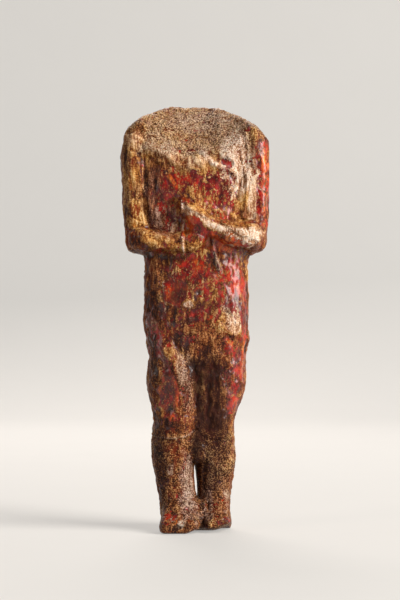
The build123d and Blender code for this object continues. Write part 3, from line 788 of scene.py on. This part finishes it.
# amber under whatever crust is left on it, as one surface; cover is how much more crust it has, and glassy
# the share of the light that goes into bare amber
def fossilResin(name, look, cover, glassy):
    material, tree = newMaterial(name)
    soft, mixed = {"interpolation_type": "SMOOTHSTEP"}, {"data_type": "RGBA", "out": 2}
    times, add = {"operation": "MULTIPLY"}, {"operation": "MULTIPLY_ADD"}
    place = addNode(tree, "TexCoord", out="Object")
    at = {each: addNode(tree, "Attribute", out="Fac", attribute_name=each) for each in fields}
    grain = {}
    for each, (size, detail, rough, stretch, shift, bend) in grains.items():
        scale = [1 / (drawn * size * unit * mm) for drawn in stretch]
        placed = addNode(tree, "Mapping", {"Vector": place, "Scale": scale, "Location": (shift, shift, shift)})
        grain[each] = addNode(tree, "TexNoise", {
            "Vector": placed, "Scale": 1.0, "Detail": detail, "Roughness": rough, "Distortion": bend})

    # how deep the crust is here, and how high its grain stands
    depth = addNode(tree, "Math", {0: at["crust"], 1: 1.0, 2: cover - crustDepth["middle"]}, **add)
    for part, each in ((grain["flakes"], "flakes"), (grain["crumbs"], "crumbs"), (at["ridge"], "ridge")):
        depth = addNode(tree, "Math", {0: part, 1: crustDepth[each], 2: depth}, **add)
    covered = addNode(tree, "MapRange", {0: depth, 1: -crustEdge, 2: crustEdge}, **soft)
    fibrous = addNode(tree, "MapRange", {0: at["grit"], **ranges["fibres stand"]}, **soft)
    gritty = addNode(tree, "MapRange", {0: at["grit"], **ranges["grit stands"]}, **soft)
    height = heights["middle"]
    standing = ((grain["fibres"], fibrous), (grain["grit"], gritty), (grain["coarse"], heights["coarse"]))
    for part, share in standing:
        even = addNode(tree, "Math", {0: part, 1: 0.5}, operation="SUBTRACT")
        height = addNode(tree, "Math", {0: even, 1: share, 2: height}, **add)
    height = addNode(tree, "Math", {0: at["ridge"], 1: heights["ridge"], 2: height}, **add)

    # every colour runs from dark to light along a noise or the height of the grain
    cloudy = {0: at["ridge"], 1: heights["ridge in the clouds"], 2: grain["clouds"]}
    cloudy = addNode(tree, "Math", cloudy, **add)
    shades = {"deep": (cloudy, amber["deep"]), "lit": (grain["light"], amber["lit"])}
    shades.update({each: (height, skins[each]) for each in ("brown", "ochre", "ash_and_painted_sheen", "pale_and_painted_highlight")})
    for each, (value, stops) in shades.items():
        shades[each] = addNode(tree, "ValToRGB", {0: value})
        elements = shades[each].node.color_ramp.elements
        while len(elements) < len(stops):
            elements.new(0.5)
        for element, (position, colour) in zip(elements, stops):
            element.position, element.color = position, linear(colour)

    # red amber: light coming through, then veins and burnt specks
    glowing = addNode(tree, "MapRange", {0: at["glow"], **ranges["glow"]}, **soft)
    patchy = addNode(tree, "MapRange", {0: grain["coarse"], **ranges["glowing patches"]}, **soft)
    glowing = addNode(tree, "Math", {0: glowing, 1: patchy}, **times)
    red = addNode(tree, "Mix", {0: glowing, 6: shades["deep"], 7: shades["lit"]}, **mixed)
    veined = addNode(tree, "MapRange", {0: grain["veins"], **ranges["veins"]}, **soft)
    broken = addNode(tree, "MapRange", {0: grain["crumbs"], **ranges["broken veins"]}, **soft)
    veined = addNode(tree, "Math", {0: veined, 1: broken}, **times)
    red = addNode(tree, "Mix", {0: veined, 6: red, 7: linear(amber["vein"])}, **mixed)
    burnt = addNode(tree, "MapRange", {0: grain["specks"], **ranges["specks"]}, **soft)
    red = addNode(tree, "Mix", {0: burnt, 6: red, 7: linear(amber["speck"])}, **mixed)

    # crust: dark in its hollows and light on its crests, with rust in the hollows
    skin = shades["brown"]
    for each, ragged, start, end, least, most in layers:
        torn = addNode(tree, "MapRange", {0: grain[ragged], 1: start, 2: end, 3: least}, **soft)
        share = addNode(tree, "Math", {0: at[each], 1: torn}, **times)
        share = addNode(tree, "MapRange", {0: share, **ranges["skin"], 4: most}, **soft)
        skin = addNode(tree, "Mix", {0: share, 6: skin, 7: shades[each]}, **mixed)
        if each == "ochre":
            rusty = addNode(tree, "MapRange", {0: grain["rust"], **ranges["rust"]}, **soft)
            hollows = addNode(tree, "MapRange", {0: height, **ranges["rusty hollows"]}, **soft)
            rusty = addNode(tree, "Math", {0: rusty, 1: hollows}, **times)
            skin = addNode(tree, "Mix", {0: rusty, 6: skin, 7: linear(skins["rust"])}, **mixed)

    colour = addNode(tree, "Mix", {0: covered, 6: red, 7: skin}, **mixed)
    # painted shade: where that field is high, and more so in the low grain, the colour goes towards the hollow
    # colour
    hollows = addNode(tree, "MapRange", {0: height, **ranges["dark hollows"]}, **soft)
    shaded = addNode(tree, "Math", {0: at["dark_and_painted_shade"], 1: hollows}, **times)
    shaded = addNode(tree, "MapRange", {0: shaded, **ranges["dark_and_painted_shade"]}, **soft)
    colour = addNode(tree, "Mix", {0: shaded, 6: colour, 7: linear(skins["hollow"])}, **mixed)
    outside = addNode(tree, "MapRange", {0: depth, **ranges["outside the edge"]}, **soft)
    edge = addNode(tree, "MapRange", {0: depth, **ranges["inside the edge"]}, **soft)
    edge = addNode(tree, "Math", {0: outside, 1: edge}, **times)
    colour = addNode(tree, "Mix", {0: edge, 6: colour, 7: linear(skins["broken edge"])}, **mixed)

    # smooth and wet where it is amber, dull and grainy where it is crust, and cracked right through
    clean = addNode(tree, "MapRange", {
        0: grain["smears"], **ranges["smears"], 3: amber["polish"], 4: amber["worn"]}, **soft)
    dull = addNode(tree, "MapRange", {
        0: grain["coarse"], **ranges["dull patches"], 3: look["smooth"], 4: look["rough"]}, **soft)
    rough = addNode(tree, "Mix", {0: covered, 2: clean, 3: dull}, data_type="FLOAT")
    wet = addNode(tree, "Math", {0: grain["crumbs"], 1: heights["crumbs on amber"]}, **times)
    wet = addNode(tree, "Math", {0: grain["coarse"], 1: heights["coarse on amber"], 2: wet}, **add)
    grainy = addNode(tree, "Math", {0: height, 1: heights["crust"], 2: heights["step"]}, **add)
    rise = addNode(tree, "Mix", {0: covered, 2: wet, 3: grainy}, data_type="FLOAT")
    reach = finish["crack cell"] * unit * mm
    bent = addNode(tree, "TexNoise", {"Vector": place, "Scale": 0.6 / reach, "Detail": 3}, out="Color")
    bent = addNode(tree, "VectorMath", {0: bent, 1: (reach * finish["crack bend"],) * 3, 2: place}, **add)
    crack = addNode(tree, "TexVoronoi", {"Vector": bent, "Scale": 1 / reach}, feature="DISTANCE_TO_EDGE")
    crack = addNode(tree, "MapRange", {
        0: crack, 1: 0.0, 2: finish["crack width"], 3: -finish["crack depth"], 4: 0.0}, **soft)
    rise = addNode(tree, "Math", {0: rise, 1: crack}, operation="ADD")
    bump = addNode(tree, "Bump", {
        "Strength": finish["bump strength"], "Distance": finish["bump"] * unit * mm, "Height": rise})
    inward = addNode(tree, "MapRange", {0: covered, 3: glassy, 4: finish["milky crust"]}, **soft)
    gloss = addNode(tree, "MapRange", {
        0: covered, 3: finish["coat on amber"], 4: finish["coat on crust"]}, **soft)
    surface = addNode(tree, "BsdfPrincipled", {
        "Base Color": colour, "Roughness": rough, "IOR": finish["IOR"], "Normal": bump,
        "Subsurface Weight": inward, "Subsurface Radius": amber["reach"],
        "Subsurface Scale": amber["depth"] * unit * mm, "Coat Weight": gloss,
        "Coat Roughness": finish["coat roughness"], "Specular IOR Level": finish["specular"]})
    addNode(tree, "OutputMaterial", {0: surface})
    return material


# polished red amber: hard gloss over a dark red that light enters a little way
core.data.materials.append(fossilResin("polished red amber", crusts["tan_crust"], 0.0, amber["glassy"]))
# oxidised amber crust: dull fibrous skin, waxy where it was handled, so it breaks the light up
crustMaterials = {
    name: fossilResin("oxidised " + name, look, look["cover"], amber["glassy cracks"])
    for name, look in crusts.items()}
for piece in plates:
    piece.data.materials.append(crustMaterials[piece["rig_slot"]])
print("materials: red amber and", len(crusts), "crusts")

studio = {
    "paper": "DEDCD8",
    "mottle": "CFCDC9",  # the faint clouds in it
    "shadow side": "7C7A78",  # how pale it looks to the figure, so that it doesn't wash the hollows out
    "lift": 0.5,  # how much of the paper's look is its own even brightness
    "world": 0.1,  # even light from all round
    "far wall": "8A8886",  # what stands beyond the paper
}


# 1 for rays from the camera, a reflection or a refraction, and 0 for those that carry light to the figure
def raysThatSeeIt(tree):
    seen = 0.0
    for ray in ("Is Camera Ray", "Is Glossy Ray", "Is Transmission Ray"):
        seen = addNode(tree, "Math", {0: addNode(tree, "LightPath", out=ray), 1: seen}, operation="MAXIMUM")
    return seen


# the paper lies flat under the figure and rises in a curve behind it, in metres
roll = {"half width": 1.6, "front": -0.9, "curve starts": 0.5, "curve": 0.35, "top": 1.6, "steps": 24}
profile = [(roll["front"], 0.0), (roll["curve starts"], 0.0)]
for k in range(1, roll["steps"] + 1):
    turn = math.pi / 2 * k / roll["steps"]
    profile.append((
        roll["curve starts"] + roll["curve"] * math.sin(turn), roll["curve"] - roll["curve"] * math.cos(turn)))
profile.append((roll["curve starts"] + roll["curve"], roll["top"]))
sweep = bpy.data.meshes.new("paper_sweep")
sweep.from_pydata(
    [(side * roll["half width"], depth, up) for depth, up in profile for side in (-1, 1)], [],
    [(2 * k, 2 * k + 1, 2 * k + 3, 2 * k + 2) for k in range(len(profile) - 1)])
sweep.shade_smooth()
floor = bpy.data.objects.new("paper_sweep", sweep)
bpy.context.collection.objects.link(floor)
paper, tree = newMaterial("matt studio paper")  # dull and even, so that the eye stays on the figure
place = addNode(tree, "TexCoord", out="Object")
mottle = addNode(tree, "TexNoise", {"Vector": place, "Scale": 30.0, "Detail": 3})
mottle = addNode(tree, "MapRange", {0: mottle, 1: 0.3, 2: 0.7, 4: 0.06})
shade = addNode(tree, "Mix", {
    0: mottle, 6: linear(studio["paper"]), 7: linear(studio["mottle"])}, out=2, data_type="RGBA")
seen = raysThatSeeIt(tree)
turned = addNode(tree, "Mix", {
    0: seen, 6: linear(studio["shadow side"]), 7: shade}, out=2, data_type="RGBA")
matt = addNode(tree, "BsdfPrincipled", {"Base Color": turned, "Roughness": 0.9, "IOR": 1.45})
even = addNode(tree, "Emission", {"Color": shade, "Strength": 1.0})
lift = addNode(tree, "Math", {0: seen, 1: studio["lift"]}, operation="MULTIPLY")
addNode(tree, "OutputMaterial", {0: addNode(tree, "MixShader", {0: lift, 1: matt, 2: even})})
sweep.materials.append(paper)

middle = Vector((0, 0, high[2] * mm / 2))
# soft lights: where they stand, how wide and tall they are, in metres, their watts and their colour
lamps = {
    "key softbox": ((0.95, -0.5, 0.516), (0.68, 1.18), 31.0, "FFFAF4"),
    "fill card": ((-0.56, -0.36, 0.2), (0.2, 0.5), 1.2, "FFEEE2"),
    "back card": ((-0.06, 0.46, 0.4), (0.3, 0.4), 2.4, "FFF6F0"),
}


def softLight(name, place, size, watts, colour):
    data = bpy.data.lights.new(name, "AREA")
    data.shape, data.size, data.size_y = "RECTANGLE", size[0], size[1]
    data.energy = watts
    data.color = linear(colour)[:3]
    light = bpy.data.objects.new(name, data)
    light.location = place
    light.rotation_euler = (middle - light.location).to_track_quat("-Z", "Y").to_euler()
    light.visible_camera = False
    bpy.context.collection.objects.link(light)


for lampName, (place, size, watts, colour) in lamps.items():
    softLight(lampName, place, size, watts, colour)
print("paper and", len(lamps), "soft lights")

world = bpy.data.worlds.new("studio grey")
world.use_nodes = True
world.node_tree.nodes.clear()
tree = world.node_tree
around = addNode(tree, "Mix", {
    0: raysThatSeeIt(tree), 6: [studio["world"]] * 3 + [1.0],
    7: linear(studio["far wall"])}, out=2, data_type="RGBA")
addNode(tree, "OutputWorld", {0: addNode(tree, "Background", {"Color": around, "Strength": 1.0})})
bpy.context.scene.world = world

# level, straight in front of the figure, a little above half its height; lens and sensor in mm
view = {"lens": 79.3, "sensor": 24, "aside": 0.0013, "away": 0.560, "up": 0.0648}
cameraData = bpy.data.cameras.new("camera")
cameraData.sensor_fit = "VERTICAL"
cameraData.sensor_height = view["sensor"]
cameraData.lens = view["lens"]
cameraData.clip_start = 0.01
camera = bpy.data.objects.new("camera", cameraData)
camera.location = (view["aside"] * unit, -view["away"] * unit, view["up"] * unit)
camera.rotation_euler = (math.radians(90), 0, 0)
bpy.context.collection.objects.link(camera)
bpy.context.scene.camera = camera
bpy.context.scene.view_settings.view_transform = "Standard"
